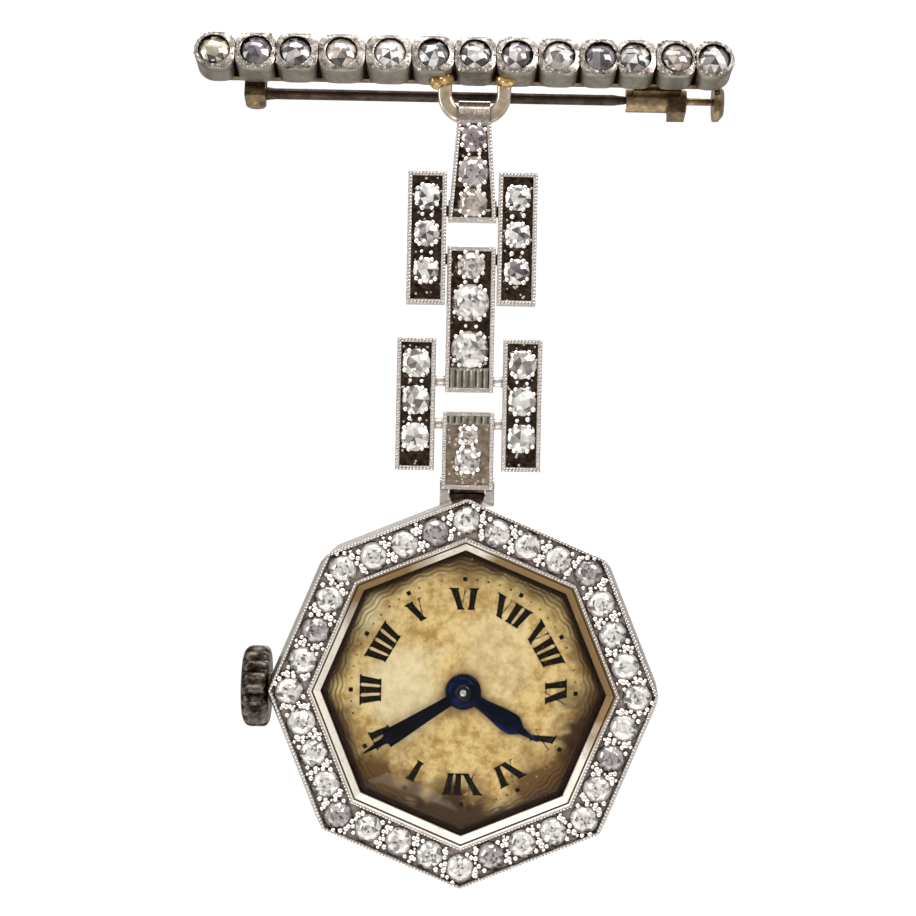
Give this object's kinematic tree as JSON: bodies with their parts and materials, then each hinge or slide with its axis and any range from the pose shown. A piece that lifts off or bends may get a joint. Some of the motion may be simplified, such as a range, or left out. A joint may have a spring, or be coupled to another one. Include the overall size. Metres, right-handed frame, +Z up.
{
  "type": "brooch fob watch",
  "caption": "Ladies' lapel watch: an octagonal diamond-set case hangs upside down from a gem-set bar brooch on hinged buckle links.",
  "frame": {"origin": "on the brooch pin's axis, level with the middle stone of the bar and the watch's centre line", "axes": "+X along the brooch pin from its hinge to its tip, +Y from the dial toward the case back and the wearer, +Z up from the watch to the bar as it hangs"},
  "size_m": [0.0335, 0.0058, 0.0528],
  "materials": {
    "platinum": "polished platinum with worn, softly scratched edges",
    "gold": "yellow gold, dulled with age",
    "pin_metal": "dark tarnished wire",
    "crown_metal": "tarnished gilt, worn bright on the ribs",
    "diamond": "cut and polished stone",
    "crystal_glass": "clear domed glass",
    "dial_face": "aged champagne dial with brown patina",
    "blued_steel": "heat-blued polished steel",
    "movement_brass": "gilt brass",
    "movement_steel": "nickel-plated, fine brushed",
    "ruby": "polished synthetic ruby"
  },
  "bodies": {
    "brooch": {"bar_collets": "platinum", "bar_diamonds": "diamond", "bar_rail": "gold", "bail": "platinum", "pin_bracket": "gold", "pin_rivet": "gold", "catch_barrel": "gold"},
    "pin": {"pin_stem": "pin_metal"},
    "catch": {"catch_slider": "gold"},
    "upper_strap": {"upper_strap": "platinum", "upper_strap_diamonds": "diamond"},
    "upper_buckle": {"upper_buckle": "platinum", "upper_buckle_diamonds": "diamond", "upper_buckle_rod_top": "platinum", "upper_buckle_rod_bottom": "platinum"},
    "middle_strap": {"middle_strap": "platinum", "middle_strap_diamonds": "diamond"},
    "lower_buckle": {"lower_buckle": "platinum", "lower_buckle_diamonds": "diamond", "lower_buckle_rod_top": "platinum", "lower_buckle_rod_bottom": "platinum"},
    "lower_strap": {"lower_strap": "platinum", "lower_strap_diamonds": "diamond"},
    "case": {"case_band": "platinum", "lug_pin": "platinum", "bezel": "platinum", "bezel_diamonds": "diamond", "crystal": "crystal_glass", "pendant_tube": "gold", "dial": "dial_face", "main_plate": "movement_brass", "barrel_bridge": "movement_steel", "train_bridge": "movement_steel", "balance_cock": "movement_steel", "jewels": "ruby", "bridge_screws": "blued_steel"},
    "case_back": {"case_back": "platinum"},
    "winding_pinion": {"winding_pinion": "movement_steel"},
    "crown": {"crown": "crown_metal", "winding_stem": "movement_steel"},
    "minute_arbor": {"minute_hand": "blued_steel", "cannon_pinion": "movement_steel", "center_wheel": "movement_brass"},
    "hour_hand": {"hour_hand": "blued_steel", "hour_wheel": "movement_brass"},
    "minute_wheel": {"minute_wheel": "movement_brass"},
    "barrel": {"mainspring_barrel": "movement_brass"},
    "ratchet": {"ratchet_wheel": "movement_steel"},
    "click": {"click": "movement_steel"},
    "third_wheel": {"third_wheel": "movement_brass"},
    "fourth_wheel": {"fourth_wheel": "movement_brass"},
    "escape_wheel": {"escape_wheel": "movement_brass"},
    "pallet": {"pallet_fork": "movement_steel"},
    "balance": {"balance_wheel": "movement_brass", "hairspring": "blued_steel"}
  },
  "joints": [
    {"name": "pin_hinge", "type": "hinge", "parent": "brooch", "child": "pin", "pos_m": [-0.0138, 0, 0], "axis": [0, 0.309, 0.9511], "range_deg": [0, 100]},
    {"name": "catch_slide", "type": "slide", "parent": "brooch", "child": "catch", "axis": [1, 0, 0], "range_m": [-0.0015, 0]},
    {"name": "upper_strap_swing", "type": "hinge", "parent": "brooch", "child": "upper_strap", "pos_m": [0, -0.0022, -0.00157], "axis": [1, 0, 0], "range_deg": [-25, 25]},
    {"name": "upper_buckle_swing", "type": "hinge", "parent": "upper_strap", "child": "upper_buckle", "pos_m": [0, -0.0022, -0.00745], "axis": [1, 0, 0], "range_deg": [-25, 25]},
    {"name": "middle_strap_swing", "type": "hinge", "parent": "upper_buckle", "child": "middle_strap", "pos_m": [0, -0.0022, -0.01045], "axis": [1, 0, 0], "range_deg": [-25, 25]},
    {"name": "lower_buckle_swing", "type": "hinge", "parent": "middle_strap", "child": "lower_buckle", "pos_m": [0, -0.0022, -0.01805], "axis": [1, 0, 0], "range_deg": [-25, 25]},
    {"name": "lower_strap_swing", "type": "hinge", "parent": "lower_buckle", "child": "lower_strap", "pos_m": [0, -0.0022, -0.0207], "axis": [1, 0, 0], "range_deg": [-25, 25]},
    {"name": "case_swing", "type": "hinge", "parent": "lower_strap", "child": "case", "pos_m": [0, -0.0022, -0.0245], "axis": [1, 0, 0], "range_deg": [-18, 25]},
    {"name": "back_lift", "type": "slide", "parent": "case", "child": "case_back", "axis": [0, 1, 0], "range_m": [0, 0.012]},
    {"name": "crown_turn", "type": "hinge", "parent": "case", "child": "winding_pinion", "pos_m": [-0.0074, -0.00135, -0.0374], "axis": [-1, 0, 0], "continuous": true},
    {"name": "crown_pull", "type": "slide", "parent": "winding_pinion", "child": "crown", "axis": [-1, 0, 0], "range_m": [0, 0.0005]},
    {"name": "minute_turn", "type": "hinge", "parent": "case", "child": "minute_arbor", "pos_m": [0, -0.0022, -0.0374], "axis": [0, 1, 0], "continuous": true},
    {"name": "hour_turn", "type": "hinge", "parent": "case", "child": "hour_hand", "pos_m": [0, -0.0022, -0.0374], "axis": [0, 1, 0], "continuous": true},
    {"name": "minute_wheel_turn", "type": "hinge", "parent": "case", "child": "minute_wheel", "pos_m": [-0.00108, -0.0022, -0.03552], "axis": [0, 1, 0], "continuous": true},
    {"name": "barrel_turn", "type": "hinge", "parent": "case", "child": "barrel", "pos_m": [-0.00287, -0.0022, -0.03453], "axis": [0, 1, 0], "continuous": true},
    {"name": "ratchet_turn", "type": "hinge", "parent": "case", "child": "ratchet", "pos_m": [-0.00287, -0.0022, -0.03453], "axis": [0, 1, 0], "continuous": true},
    {"name": "click_lift", "type": "hinge", "parent": "case", "child": "click", "pos_m": [-0.0034, -0.0022, -0.03153], "axis": [0, 1, 0], "range_deg": [-3, 14]},
    {"name": "third_turn", "type": "hinge", "parent": "case", "child": "third_wheel", "pos_m": [0.00356, -0.0022, -0.03677], "axis": [0, 1, 0], "continuous": true},
    {"name": "fourth_turn", "type": "hinge", "parent": "case", "child": "fourth_wheel", "pos_m": [0.00302, -0.0022, -0.0398], "axis": [0, 1, 0], "continuous": true},
    {"name": "escape_turn", "type": "hinge", "parent": "case", "child": "escape_wheel", "pos_m": [0.00059, -0.0022, -0.0412], "axis": [0, 1, 0], "continuous": true},
    {"name": "pallet_rock", "type": "hinge", "parent": "case", "child": "pallet", "pos_m": [-0.00124, -0.0022, -0.04088], "axis": [0, 1, 0], "range_deg": [-4, 4]},
    {"name": "balance_swing", "type": "hinge", "parent": "case", "child": "balance", "pos_m": [-0.0033, -0.0022, -0.0414], "axis": [0, 1, 0], "range_deg": [-135, 135], "stiffness_Nm_per_rad": 0.0000001}
  ],
  "couplings": [
    {"joint": "hour_turn", "follows": "minute_turn", "ratio": 0.083333},
    {"joint": "minute_wheel_turn", "follows": "minute_turn", "ratio": -0.33333},
    {"joint": "barrel_turn", "follows": "minute_turn", "ratio": -0.125},
    {"joint": "third_turn", "follows": "minute_turn", "ratio": -8},
    {"joint": "fourth_turn", "follows": "minute_turn", "ratio": 60},
    {"joint": "escape_turn", "follows": "minute_turn", "ratio": -600}
  ]
}
